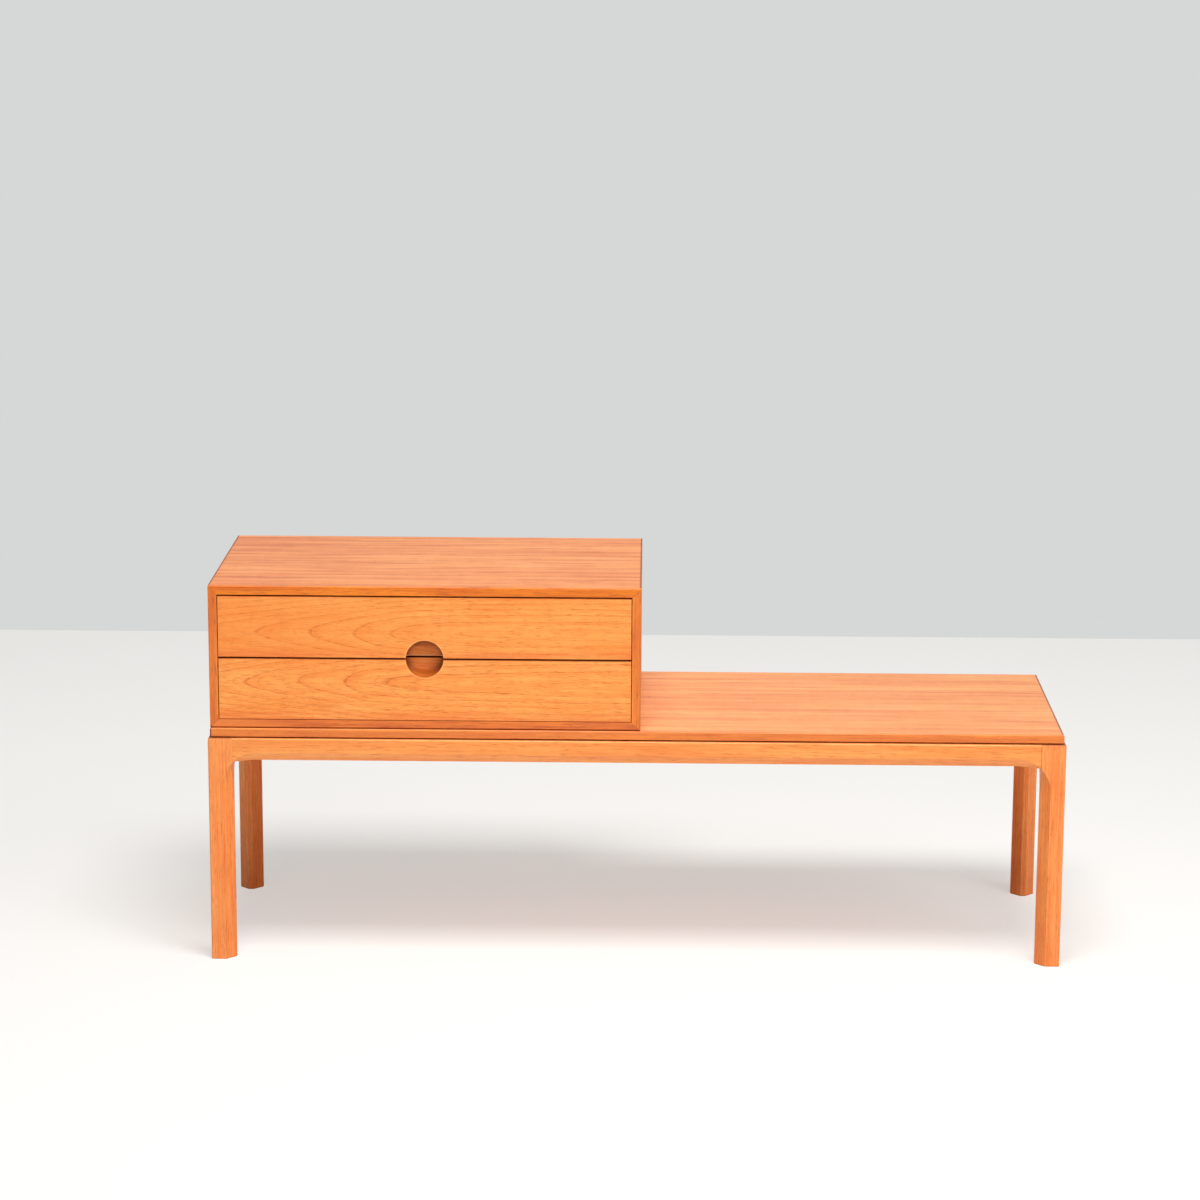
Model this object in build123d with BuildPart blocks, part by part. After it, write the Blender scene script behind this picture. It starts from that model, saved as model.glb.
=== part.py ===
"""Hall bench: a four-legged stand, a seat board and a case of two drawers on the seat's left end.

All sizes are in millimetres. X runs to the right, Y to the back and Z up.
The origin is on the floor, in the middle of the stand.
"""
import os
from math import sqrt, tan, radians

from build123d import *

os.makedirs("parts", exist_ok=True)

# Stand: legs and rails are cut from the same square stock
bench_width = 1130.0
bench_depth = 350.0
stand_height = 304.0
stock = 32.0
rail_height = 32.0
arris_chamfer = 12.5
corner_land = 2.0  # widens the curve of the run-outs, so that the very corner stays square
arris_round = 2.5  # outer arrises of the stand's top and of its four corners
tenon_thickness = 10.0
tenon_height = 20.0
mitre_gap = 0.5  # from each tenon's mitred end to the mitre line

# Glue blocks under the seat
corner_block_leg = 50.0
block_height = 22.0
middle_block_length = 60.0
middle_block_depth = 22.0

# Seat
seat_inset = 3.0  # from the stand's outer faces
seat_thickness = 11.5
shadow_gap = 1.5  # height of the shadow line under the seat's edge
shadow_depth = 14.0
lipping = 3.0
seat_round = 2.0  # upper arrises of the seat
edge_round = 1.0

# Case
case_width = 567.0
case_height = 191.0
case_set_back = 3.0  # from the seat's front edge
board = 11.5
case_lipping = 6.0
spline_length = 9.0
spline_thickness = 3.0
spline_inset = 6.5  # from the case's outer faces to the middle of the spline
back_thickness = 4.0
back_lap = 6.0  # width of the rebate that the back lies in
back_recess = 1.0  # from the boards' back edges to the back

# Drawers
drawer_gap = 2.0  # above each drawer
drawer_side_gap = 0.8  # beside and below the drawers
front_thickness = 21.0
front_round = 0.4
side_thickness = 10.0
side_drop = 4.0  # from the front's edges to the sides' edges
drawer_end_gap = 10.0  # behind a closed drawer
tail_count = 3
tail_length = 12.0
tail_width = 12.0
tail_flare = 2.0
back_board = 10.0
back_set = 6.0  # from the sides' ends to the drawer's back
back_drop = 5.0  # from the sides' upper edges to the back's
housing_depth = 3.0
bottom_thickness = 4.0
bottom_rise = 8.0  # from the sides' lower edges to the bottom
bottom_groove = 4.0

# Finger pull: a half circle in each front, centred on the gap between the drawers
pull_radius = 24.5
pull_lip = 5.0
pull_depth = 15.5
pull_undercut = 3.5
pull_wall = 3.5
pull_cove = 9.0
pull_edge_round = 0.8  # along the gap between the cups

# Runners
runner_width = 5.0
runner_height = 10.0
runner_play = 0.3  # above and below the runner in its groove
runner_end_play = 0.5  # between the runner and the groove's floor
runner_stop = 0.3  # from the runner's front end to a closed drawer's front
runner_end_gap = 8.0  # from the runner's back end to the case's back

# Fasteners
screw_radius = 2.0
screw_head_radius = 4.0
screw_point = 3.0
screw_angle = 82.0
screw_slot = 0.8
runner_screw_radius = 1.5
runner_screw_head_radius = 3.0
seat_screw_bite = 8.0  # into the seat
case_screw_bite = 7.5  # into the case's bottom
case_screw_inset = 95.0  # from the case's outer faces
runner_screw_bite = 8.0  # into the case's sides
runner_screw_inset = 35.0  # from the runner's ends
pin_radius = 0.8
pin_head_radius = 1.6
pin_head = 0.8
pin_bite = 8.0
back_pins_across = 3
back_pins_up = 2
drawer_pin_count = 3

# Fits
glue_gap = 0.1
hole_gap = 0.1
panel_gap = 0.3

# Places that follow from the sizes
half_width = bench_width / 2
half_depth = bench_depth / 2
rail_bottom = stand_height - rail_height
run_out_radius = arris_chamfer / (sqrt(2) - 1) + corner_land
tenon_bottom = rail_bottom + (rail_height - tenon_height) / 2
block_bottom = stand_height - block_height
inner_x = half_width - stock
inner_y = half_depth - stock

seat_width = bench_width - 2 * seat_inset
seat_depth = bench_depth - 2 * seat_inset
seat_edge_bottom = stand_height + shadow_gap
seat_top = seat_edge_bottom + seat_thickness

case_left = -half_width + seat_inset
case_right = case_left + case_width
case_middle = (case_left + case_right) / 2
case_front = -half_depth + seat_inset + case_set_back
case_back = half_depth - seat_inset
case_top = seat_top + case_height
case_centre_z = (seat_top + case_top) / 2
opening_width = case_width - 2 * board
opening_height = case_height - 2 * board
opening_left = case_left + board
opening_right = case_right - board
opening_bottom = seat_top + board
rebate_depth = back_thickness + back_recess
rebate_front = case_back - rebate_depth
rebate_width = opening_width + 2 * back_lap
rebate_height = opening_height + 2 * back_lap

front_width = opening_width - 2 * drawer_side_gap
front_height = (opening_height - drawer_side_gap - 2 * drawer_gap) / 2
front_back = case_front + front_thickness
side_height = front_height - 2 * side_drop
drawer_left = opening_left + drawer_side_gap
drawer_right = opening_right - drawer_side_gap
drawer_end = rebate_front - drawer_end_gap
inside_left = drawer_left + side_thickness
inside_right = drawer_right - side_thickness
runner_groove = runner_width - drawer_side_gap + runner_end_play
runner_front = front_back + runner_stop
runner_back = rebate_front - runner_end_gap
lower_drawer_z = opening_bottom + drawer_side_gap
upper_drawer_z = lower_drawer_z + front_height + drawer_gap
pull_z = upper_drawer_z - drawer_gap / 2
cup_radius = pull_radius + pull_undercut
cup_body_radius = cup_radius + pull_wall

SIDES = {"left": -1, "right": 1}
ENDS = {"front": -1, "back": 1}

# The stand's four outer faces, each seen from outside with its own Z pointing inwards
faces = {
    "front": Plane((0, -half_depth, 0), x_dir=(-1, 0, 0), z_dir=(0, 1, 0)),
    "back": Plane((0, half_depth, 0), x_dir=(1, 0, 0), z_dir=(0, -1, 0)),
    "left": Plane((-half_width, 0, 0), x_dir=(0, 1, 0), z_dir=(1, 0, 0)),
    "right": Plane((half_width, 0, 0), x_dir=(0, -1, 0), z_dir=(-1, 0, 0)),
}
half_openings = {"front": inner_x, "back": inner_x, "left": inner_y, "right": inner_y}


def save(builder, name):
    """Labels a finished piece and writes it."""
    builder.part.label = name
    export_step(builder.part, f"parts/{name}.step")


def cut_arris(face):
    """Chamfers the arris round the opening between two legs and their rail, on one face of the stand."""
    with BuildSketch(faces[face]) as outline:
        top = rail_bottom + arris_chamfer
        height = top + 2 * arris_chamfer
        with Locations((0, top - height / 2)):
            Rectangle(2 * (half_openings[face] + arris_chamfer), height)
        fillet(outline.vertices().group_by(Axis.Y)[-1], run_out_radius + arris_chamfer)
    extrude(outline.sketch, amount=arris_chamfer, taper=45, mode=Mode.SUBTRACT)


def make_leg(side, end):
    """One leg: square at the top, where the rails are tenoned in, and chamfered on three arrises below."""
    x, y = SIDES[side], ENDS[end]
    mortise_width = tenon_thickness + 2 * glue_gap
    mortise_length = (stock + mortise_width) / 2
    mortise_middle = stock - mortise_length / 2
    with BuildPart() as leg:
        with BuildSketch():
            with Locations((x * (half_width - stock / 2), y * (half_depth - stock / 2))):
                Rectangle(stock, stock)
        extrude(amount=stand_height)
        with BuildSketch(Plane.XY.offset(tenon_bottom - glue_gap)):
            with Locations((x * (half_width - mortise_middle), y * (half_depth - stock / 2))):
                Rectangle(mortise_length, mortise_width)
            with Locations((x * (half_width - stock / 2), y * (half_depth - mortise_middle))):
                Rectangle(mortise_width, mortise_length)
        extrude(amount=tenon_height + 2 * glue_gap, mode=Mode.SUBTRACT)
        cut_arris(end)
        cut_arris(side)
        inwards = Vector(-x, -y, 0).normalized()
        diagonal = Plane((x * inner_x, y * inner_y, 0), x_dir=inwards, z_dir=(inwards.Y, -inwards.X, 0))
        depth = arris_chamfer / sqrt(2)
        with BuildSketch(diagonal):
            with BuildLine():
                start = (-depth, rail_bottom - run_out_radius)
                end_point = (0, rail_bottom)
                TangentArc(start, end_point, tangent=(0, 1))
                outside = [(arris_chamfer, rail_bottom), (arris_chamfer, -arris_chamfer)]
                Polyline(end_point, *outside, (-depth, -arris_chamfer), start)
            make_face()
        extrude(amount=arris_chamfer, both=True, mode=Mode.SUBTRACT)
        top_edges = leg.faces().sort_by(Axis.Z)[-1].edges()
        outwards = Axis((0, 0, 0), (x, y, 0))
        rounded = [
            top_edges.filter_by(Axis.Y).sort_by(Axis.X)[-1 if x > 0 else 0],
            top_edges.filter_by(Axis.X).sort_by(Axis.Y)[-1 if y > 0 else 0],
            leg.edges().filter_by(Axis.Z).sort_by(outwards)[-1],
        ]
        fillet(rounded, arris_round)
    save(leg, f"leg_{end}_{side}")


def make_rail(face):
    """One rail, with a mitred tenon at each end and its lower outer arris chamfered."""
    plane = faces[face]
    half = half_openings[face]
    near = (stock - tenon_thickness) / 2
    far = near + tenon_thickness
    reach = half + stock - mitre_gap
    plan = Plane(plane.origin + Vector(0, 0, tenon_bottom), x_dir=plane.x_dir, z_dir=(0, 0, 1))
    with BuildPart() as rail:
        with BuildSketch(plane):
            with Locations((0, rail_bottom + rail_height / 2)):
                Rectangle(2 * half, rail_height)
        extrude(amount=stock)
        with BuildSketch(plan):
            outer_ends = [(near - reach, -near), (reach - near, -near)]
            inner_ends = [(reach - far, -far), (far - reach, -far)]
            Polygon(*outer_ends, *inner_ends, align=None)
        extrude(amount=tenon_height)
        cut_arris(face)
        outwards = Axis(plane.origin, -plane.z_dir)
        fillet(rail.faces().sort_by(Axis.Z)[-1].edges().sort_by(outwards)[-1], arris_round)
    save(rail, f"rail_{face}")


def make_screws(name, places, radius, head_radius, length):
    """A group of countersunk wood screws with slotted heads, each with its head at its place."""
    head = (head_radius - radius) / tan(radians(screw_angle / 2))
    with BuildPart() as screws:
        with Locations(*places):
            with Locations((0, 0, -head / 2)):
                Cone(radius, head_radius, head)
            with Locations((0, 0, -(head + length - screw_point) / 2)):
                Cylinder(radius, length - screw_point - head)
            with Locations((0, 0, screw_point / 2 - length)):
                Cone(0, radius, screw_point)
            Box(2 * head_radius, screw_slot, 2 * screw_slot, mode=Mode.SUBTRACT)
    save(screws, name)


def make_pins(name, places, length):
    """A group of panel pins with flat heads, each with its head at its place."""
    with BuildPart() as pins:
        with Locations(*places):
            with Locations((0, 0, -pin_head / 2)):
                Cylinder(pin_head_radius, pin_head)
            with Locations((0, 0, -length / 2)):
                Cylinder(pin_radius, length)
    save(pins, name)


def cut_screw_holes(places, radius, length):
    """Pilot holes for the shanks of screws whose heads lie at the given places."""
    with Locations(*places):
        Hole(radius + hole_gap, depth=length + hole_gap)


def cut_head_holes(places, radius, head_radius, length):
    """Countersunk holes for screws whose heads lie at the given places."""
    with Locations(*places):
        CounterSinkHole(radius + hole_gap, head_radius + hole_gap, length + hole_gap, screw_angle)


def cut_pin_holes(places, length):
    """Holes for panel pins, with room for their flat heads."""
    head_hole = (pin_head_radius + hole_gap, pin_head + hole_gap)
    with Locations(*places):
        CounterBoreHole(pin_radius + hole_gap, *head_hole, length + hole_gap)


def ring(left, right, low, high, width):
    """The four mitred sides of a rectangular ring, as corner points in order: low, right, high, left."""
    outer = [(left, low), (right, low), (right, high), (left, high)]
    inner = [
        (left + width, low + width),
        (right - width, low + width),
        (right - width, high - width),
        (left + width, high - width),
    ]
    sides = []
    for i in range(4):
        j = (i + 1) % 4
        sides.append([outer[i], outer[j], inner[j], inner[i]])
    return sides


def spread(count, length):
    """Evenly spaced steps about the middle of a length, with half a space left at each end."""
    return [length * ((index + 0.5) / count - 0.5) for index in range(count)]


# Places of the fasteners: each has its Z along the screw, pointing out of the head
corner_block_places = []
corner_block_centroid = corner_block_leg / 3
for x in SIDES.values():
    for y in ENDS.values():
        spot = (x * (inner_x - corner_block_centroid), y * (inner_y - corner_block_centroid), block_bottom)
        corner_block_places.append(Plane(spot, z_dir=(0, 0, -1)))
middle_block_places = []
for y in ENDS.values():
    spot = (0, y * (inner_y - middle_block_depth / 2), block_bottom)
    middle_block_places.append(Plane(spot, z_dir=(0, 0, -1)))
seat_screw_places = corner_block_places + middle_block_places
seat_screw_length = block_height + seat_screw_bite

case_screw_places = []
for x in (case_left + case_screw_inset, case_right - case_screw_inset):
    for y in (case_front + case_screw_inset, case_back - case_screw_inset):
        case_screw_places.append(Plane((x, y, stand_height), z_dir=(0, 0, -1)))
case_screw_length = shadow_gap + seat_thickness + case_screw_bite

runner_screw_length = runner_width + runner_screw_bite
runner_heights = {
    "upper": upper_drawer_z + front_height / 2,
    "lower": lower_drawer_z + front_height / 2,
}
runner_screw_spots = (
    runner_front + runner_screw_inset,
    (runner_front + runner_back) / 2,
    runner_back - runner_screw_inset,
)
runner_screw_places = {}
for level, z in runner_heights.items():
    for side, x in SIDES.items():
        face_x = opening_left + runner_width if x < 0 else opening_right - runner_width
        planes = [Plane((face_x, y, z), x_dir=(0, 1, 0), z_dir=(-x, 0, 0)) for y in runner_screw_spots]
        runner_screw_places[level, side] = planes

pin_ring_width = rebate_width - back_lap
pin_ring_height = rebate_height - back_lap
back_pin_spots = []
for step in spread(back_pins_across, pin_ring_width):
    back_pin_spots += [(step, -pin_ring_height / 2), (step, pin_ring_height / 2)]
for step in spread(back_pins_up, pin_ring_height):
    back_pin_spots += [(-pin_ring_width / 2, step), (pin_ring_width / 2, step)]
back_pin_places = []
for x, z in back_pin_spots:
    spot = (case_middle + x, rebate_front + back_thickness, case_centre_z + z)
    back_pin_places.append(Plane(spot, x_dir=(-1, 0, 0), z_dir=(0, 1, 0)))
back_pin_length = back_thickness + pin_bite

# Stand
for side in SIDES:
    for end in ENDS:
        make_leg(side, end)
for face in faces:
    make_rail(face)

# Glue blocks
for side, x in SIDES.items():
    for end, y in ENDS.items():
        with BuildPart() as corner_block:
            with BuildSketch(Plane.XY.offset(block_bottom)):
                corner = Vector(x * inner_x, y * inner_y)
                along_x = corner - Vector(x * corner_block_leg, 0)
                along_y = corner - Vector(0, y * corner_block_leg)
                Polygon(corner, along_x, along_y, align=None)
            extrude(amount=block_height)
            cut_head_holes(corner_block_places, screw_radius, screw_head_radius, seat_screw_length)
        save(corner_block, f"corner_block_{end}_{side}")
for end, y in ENDS.items():
    with BuildPart() as middle_block:
        with BuildSketch(Plane.XY.offset(block_bottom)):
            with Locations((0, y * (inner_y - middle_block_depth / 2))):
                Rectangle(middle_block_length, middle_block_depth)
        extrude(amount=block_height)
        cut_head_holes(middle_block_places, screw_radius, screw_head_radius, seat_screw_length)
    save(middle_block, f"middle_block_{end}")
make_screws("seat_screws", seat_screw_places, screw_radius, screw_head_radius, seat_screw_length)

# Seat: the board stands on the frame on a smaller foot, which leaves the shadow line
with BuildPart() as seat_board:
    with BuildSketch(Plane.XY.offset(stand_height)):
        Rectangle(seat_width - 2 * shadow_depth, seat_depth - 2 * shadow_depth)
    extrude(amount=shadow_gap)
    with BuildSketch(Plane.XY.offset(seat_edge_bottom)):
        Rectangle(seat_width - 2 * lipping, seat_depth - 2 * lipping)
    extrude(amount=seat_thickness)
    cut_screw_holes(seat_screw_places, screw_radius, seat_screw_length)
    cut_head_holes(case_screw_places, screw_radius, screw_head_radius, case_screw_length)
save(seat_board, "seat_board")

seat_ring = ring(-seat_width / 2, seat_width / 2, -seat_depth / 2, seat_depth / 2, lipping)
for name, points in zip(("front", "right", "back", "left"), seat_ring):
    with BuildPart() as seat_lipping:
        with BuildSketch(Plane.XY.offset(seat_edge_bottom)):
            Polygon(*points, align=None)
        extrude(amount=seat_thickness)
        outer_face = seat_lipping.faces().sort_by(SortBy.AREA)[-1]
        long_edges = outer_face.edges().group_by(Axis.Z)
        fillet(long_edges[-1], seat_round)
        fillet(long_edges[0], edge_round)
    save(seat_lipping, f"seat_lipping_{name}")

# Case: four mitred boards with their front lippings, tongues in the mitres and a back in a rebate
spline_places = []
for x, z, turn in (
    (case_left + spline_inset, seat_top + spline_inset, -45),
    (case_right - spline_inset, seat_top + spline_inset, 45),
    (case_right - spline_inset, case_top - spline_inset, -45),
    (case_left + spline_inset, case_top - spline_inset, 45),
):
    spline_places.append(Location((x, z, 0), (0, 0, turn)))
board_front = case_front + case_lipping
spline_end_gap = pin_bite + hole_gap + glue_gap
spline_run = rebate_front - spline_end_gap - board_front

case_ring = ring(case_left, case_right, seat_top, case_top, board)
case_names = ("bottom", "right_side", "top", "left_side")
for name, points in zip(case_names, case_ring):
    with BuildPart() as case_board:
        with BuildSketch(Plane.XZ.offset(-board_front)):
            Polygon(*points, align=None)
        extrude(amount=board_front - case_back)
        with BuildSketch(Plane.XZ.offset(-board_front)):
            with Locations(*spline_places):
                Rectangle(spline_length + 2 * glue_gap, spline_thickness + 2 * glue_gap)
        extrude(amount=-spline_run - glue_gap, mode=Mode.SUBTRACT)
        with BuildSketch(Plane.XZ.offset(-rebate_front)):
            with Locations((case_middle, case_centre_z)):
                Rectangle(rebate_width, rebate_height)
        extrude(amount=-rebate_depth, mode=Mode.SUBTRACT)
        cut_screw_holes(back_pin_places, pin_radius, back_pin_length)
        if name == "bottom":
            cut_screw_holes(case_screw_places, screw_radius, case_screw_length)
        for (level, side), places in runner_screw_places.items():
            if name == f"{side}_side":
                cut_screw_holes(places, runner_screw_radius, runner_screw_length)
    save(case_board, f"case_{name}")

    with BuildPart() as front_lipping:
        with BuildSketch(Plane.XZ.offset(-case_front)):
            Polygon(*points, align=None)
        extrude(amount=-case_lipping)
        front_edges = front_lipping.faces().sort_by(Axis.Y)[0].edges()
        fillet(front_edges.sort_by(Edge.length)[-1], edge_round)
    save(front_lipping, f"case_lipping_{name}")

with BuildPart() as case_splines:
    with BuildSketch(Plane.XZ.offset(-board_front)):
        with Locations(*spline_places):
            Rectangle(spline_length, spline_thickness)
    extrude(amount=-spline_run)
save(case_splines, "case_mitre_splines")
make_screws("case_screws", case_screw_places, screw_radius, screw_head_radius, case_screw_length)

with BuildPart() as case_back_panel:
    with BuildSketch(Plane.XZ.offset(-rebate_front)):
        with Locations((case_middle, case_centre_z)):
            Rectangle(rebate_width - 2 * panel_gap, rebate_height - 2 * panel_gap)
    extrude(amount=-back_thickness)
    cut_pin_holes(back_pin_places, back_pin_length)
save(case_back_panel, "case_back_panel")
make_pins("case_back_pins", back_pin_places, back_pin_length)

# Runners
for level, z in runner_heights.items():
    for side, x in SIDES.items():
        places = runner_screw_places[level, side]
        middle_x = opening_left + runner_width / 2 if x < 0 else opening_right - runner_width / 2
        with BuildPart() as runner:
            with BuildSketch(Plane.XZ.offset(-runner_front)):
                with Locations((middle_x, z)):
                    Rectangle(runner_width, runner_height)
            extrude(amount=runner_front - runner_back)
            cut_head_holes(places, runner_screw_radius, runner_screw_head_radius, runner_screw_length)
        save(runner, f"runner_{level}_{side}")
all_places = [place for places in runner_screw_places.values() for place in places]
make_screws("runner_screws", all_places, runner_screw_radius, runner_screw_head_radius, runner_screw_length)


def tail_outlines(side_bottom, gap):
    """Corners of a side's dovetails, seen from the drawer's side, as (Y, Z) points."""
    root = tail_width / 2 + gap
    tip = root + tail_flare
    end = front_back - tail_length - gap
    outlines = []
    for step in spread(tail_count, side_height):
        z = side_bottom + side_height / 2 + step
        outlines.append([(front_back, z - root), (front_back, z + root), (end, z + tip), (end, z - tip)])
    return outlines


def make_drawer(level, bottom_z, pull_on_top):
    """One drawer: its front, its two sides, its back, its bottom and its half of the finger pull."""
    top_z = bottom_z + front_height
    side_bottom = bottom_z + side_drop
    panel_z = side_bottom + bottom_rise
    panel_top = panel_z + bottom_thickness
    back_y = drawer_end - back_set - back_board
    groove_z = panel_z + bottom_thickness / 2
    groove_height = bottom_thickness + 2 * glue_gap
    half_z = top_z if pull_on_top else bottom_z
    half_middle = half_z - cup_body_radius / 2 if pull_on_top else half_z + cup_body_radius / 2
    pin_places = []
    for step in spread(drawer_pin_count, front_width):
        spot = (case_middle + step, back_y + back_board / 2, panel_z)
        pin_places.append(Plane(spot, z_dir=(0, 0, -1)))
    pin_length = bottom_thickness + pin_bite

    with BuildPart() as front:
        with BuildSketch(Plane.XZ.offset(-case_front)):
            with Locations((case_middle, bottom_z + front_height / 2)):
                Rectangle(front_width, front_height)
            with Locations((case_middle, pull_z)):
                Circle(pull_radius, mode=Mode.SUBTRACT)
        extrude(amount=-front_thickness)
        fillet(front.faces().sort_by(Axis.Y)[0].edges(), front_round)
        with BuildSketch(Plane.XZ.offset(-case_front - pull_lip)):
            with Locations((case_middle, pull_z)):
                Circle(cup_body_radius + glue_gap)
        extrude(amount=pull_lip - front_thickness, mode=Mode.SUBTRACT)
        for socket_x in (drawer_left, drawer_right - side_thickness - glue_gap):
            with BuildSketch(Plane.YZ.offset(socket_x)):
                for outline in tail_outlines(side_bottom, glue_gap):
                    Polygon(*outline, align=None)
            extrude(amount=side_thickness + glue_gap, mode=Mode.SUBTRACT)
        with BuildSketch(Plane.XZ.offset(-front_back)):
            with Locations((case_middle, groove_z)):
                Rectangle(inside_right - inside_left, groove_height)
        extrude(amount=bottom_groove, mode=Mode.SUBTRACT)
    save(front, f"{level}_drawer_front")

    for side, x in SIDES.items():
        outer_x = drawer_left if x < 0 else drawer_right
        outer_plane = Plane((outer_x, 0, 0), x_dir=(0, 1, 0), z_dir=(1, 0, 0))
        inner_plane = outer_plane.offset(-x * side_thickness)
        length = drawer_end - front_back
        with BuildPart() as drawer_side:
            with BuildSketch(outer_plane):
                with Locations((front_back + length / 2, side_bottom + side_height / 2)):
                    Rectangle(length, side_height)
                for outline in tail_outlines(side_bottom, 0):
                    Polygon(*outline, align=None)
            extrude(amount=-x * side_thickness)
            with BuildSketch(outer_plane):
                with Locations((front_back + length / 2, runner_heights[level])):
                    Rectangle(length, runner_height + 2 * runner_play)
            extrude(amount=-x * runner_groove, mode=Mode.SUBTRACT)
            with BuildSketch(inner_plane):
                with Locations((front_back + length / 2, groove_z)):
                    Rectangle(length, groove_height)
            extrude(amount=x * bottom_groove, mode=Mode.SUBTRACT)
            with BuildSketch(inner_plane):
                with Locations((back_y + back_board / 2, side_bottom + side_height / 2)):
                    Rectangle(back_board + 2 * glue_gap, side_height)
            extrude(amount=x * housing_depth, mode=Mode.SUBTRACT)
        save(drawer_side, f"{level}_drawer_{side}_side")

    with BuildPart() as drawer_back:
        back_height = side_bottom + side_height - back_drop - panel_top - glue_gap
        with BuildSketch(Plane.XY.offset(panel_top + glue_gap)):
            with Locations((case_middle, back_y + back_board / 2)):
                Rectangle(inside_right - inside_left + 2 * (housing_depth - glue_gap), back_board)
        extrude(amount=back_height)
        cut_screw_holes(pin_places, pin_radius, pin_length)
    save(drawer_back, f"{level}_drawer_back")

    with BuildPart() as drawer_bottom:
        panel_end = drawer_end - back_set / 2
        tongue = bottom_groove - panel_gap
        with BuildSketch(Plane.XY.offset(panel_z)):
            with Locations((case_middle, (front_back + panel_gap + panel_end) / 2)):
                Rectangle(inside_right - inside_left + 2 * tongue, panel_end - front_back - panel_gap)
            with Locations((case_middle, front_back + (panel_gap - tongue) / 2)):
                Rectangle(inside_right - inside_left - 2 * panel_gap, tongue + panel_gap)
        extrude(amount=bottom_thickness)
        cut_pin_holes(pin_places, pin_length)
    save(drawer_bottom, f"{level}_drawer_bottom")
    make_pins(f"{level}_drawer_pins", pin_places, pin_length)

    with BuildPart() as pull:
        with BuildSketch(Plane.XZ.offset(-case_front - pull_lip)):
            with Locations((case_middle, pull_z)):
                Circle(cup_body_radius)
            with Locations((case_middle, half_middle)):
                Rectangle(2 * cup_body_radius, cup_body_radius, mode=Mode.INTERSECT)
        extrude(amount=pull_lip - front_thickness)
        with BuildSketch(Plane.XZ.offset(-case_front - pull_lip)):
            with Locations((case_middle, pull_z)):
                Circle(cup_radius)
        extrude(amount=pull_lip - pull_depth, mode=Mode.SUBTRACT)
        floor = pull.faces().filter_by(Axis.Y).sort_by(Axis.Y)[-2]
        fillet(floor.edges().filter_by(GeomType.CIRCLE), pull_cove)
        floor = pull.faces().filter_by(Axis.Y).sort_by(Axis.Y)[-2]
        fillet(floor.edges().filter_by(Axis.X), pull_edge_round)
        with BuildSketch(Plane.XZ.offset(-front_back)):
            with Locations((case_middle, groove_z)):
                Rectangle(inside_right - inside_left, groove_height)
        extrude(amount=bottom_groove, mode=Mode.SUBTRACT)
    save(pull, f"{level}_drawer_pull")


make_drawer("upper", upper_drawer_z, pull_on_top=False)
make_drawer("lower", lower_drawer_z, pull_on_top=True)
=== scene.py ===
"""Looks of the hall bench: oiled teak and plain inner woods on the CAD pieces, in a pale studio.

Lengths in the materials are in millimetres and colours in 0 to 255. Each piece's grain is laid out in
its own frame of (along, across, depth), measured from the middle of the piece's box.
"""

from dataclasses import dataclass, replace
from math import pi

import bpy
from mathutils import Matrix, Vector


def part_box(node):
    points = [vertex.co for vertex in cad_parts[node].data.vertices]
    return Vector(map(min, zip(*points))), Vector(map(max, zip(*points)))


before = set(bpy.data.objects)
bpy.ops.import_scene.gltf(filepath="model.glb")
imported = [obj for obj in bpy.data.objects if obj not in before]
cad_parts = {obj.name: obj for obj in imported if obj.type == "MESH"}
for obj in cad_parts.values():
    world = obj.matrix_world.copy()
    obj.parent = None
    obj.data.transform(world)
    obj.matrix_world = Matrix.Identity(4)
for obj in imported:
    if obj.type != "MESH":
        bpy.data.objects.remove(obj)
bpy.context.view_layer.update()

MM = 1000.0
X, Y, Z = 0, 1, 2
RIGHT, BACK, UP = (1, 0, 0), (0, 1, 0), (0, 0, 1)


def shade(red, green, blue):
    """A colour written in 0 to 255, as the linear values that sockets take."""
    linear = []
    for part in (red, green, blue):
        part /= 255
        linear.append(part / 12.92 if part <= 0.04045 else ((part + 0.055) / 1.055) ** 2.4)
    return (*linear, 1.0)


@dataclass
class Wood:
    """How one kind of wood looks, apart from how a piece was sawn from the log."""

    light: tuple
    dark: tuple
    line: tuple
    spacing: float = 5.0  # between growth rings
    line_width: float = 0.1  # share of the spacing
    ring: float = 0.4  # how dark the late wood is
    fine: float = 0.4  # weaker lines between the rings
    line_share: float = 0.4  # how much of the line colour the rings take
    clear: float = 0.0  # how evenly the rings show
    wander: float = 7.0  # how far the rings stray
    uneven: float = 0.6  # how far the rings' spacing varies
    streak: float = 1.2
    streak_size: tuple = (700.0, 12.0)  # along, across
    blotch: float = 0.9
    blotch_size: tuple = (240.0, 48.0)
    strand: float = 1.0  # bundles of fibres
    strand_size: tuple = (70.0, 2.6)
    dash: float = 0.4  # short dark lines where pores gather
    dash_size: tuple = (26.0, 1.8)
    pore: float = 0.4
    figure: float = 0.12  # shimmer across the grain
    tone: float = 0.35  # share of the dark colour all over
    rough: float = 0.42
    gloss: float = 0.5
    wear_and_highlight: float = 0.25  # paler rubbed arrises, and a painted highlight on them
    end_grain: float = 0.6  # how much darker sawn ends are
    bump: float = 0.35


@dataclass
class Cut:
    """How a piece lies in the log: its axes, where the pith is and how the rings shift along it."""

    axes: tuple
    pith: tuple = (-420.0, -260.0)  # across, depth
    slope: float = 0.004
    tips: tuple = ()  # (along, shift of the rings)
    painted_shade_way: tuple = ()  # painted shade: the way that a leg's darkened faces look


@dataclass
class Band:
    """A strip of another tint along a plane, such as dirt in a joint, painted shade in a gap, or an arris
    that hands rub.
    """

    normal: tuple
    at: float
    width: float
    strength: float
    tint: tuple
    ragged: bool = False
    dull: bool = True


@dataclass
class Round:
    """A tint round the finger pull's middle that changes from one strength to another between two radii."""

    centre: Vector
    inner: float
    outer: float
    strengths: tuple
    tint: tuple
    dull: bool = False


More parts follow.
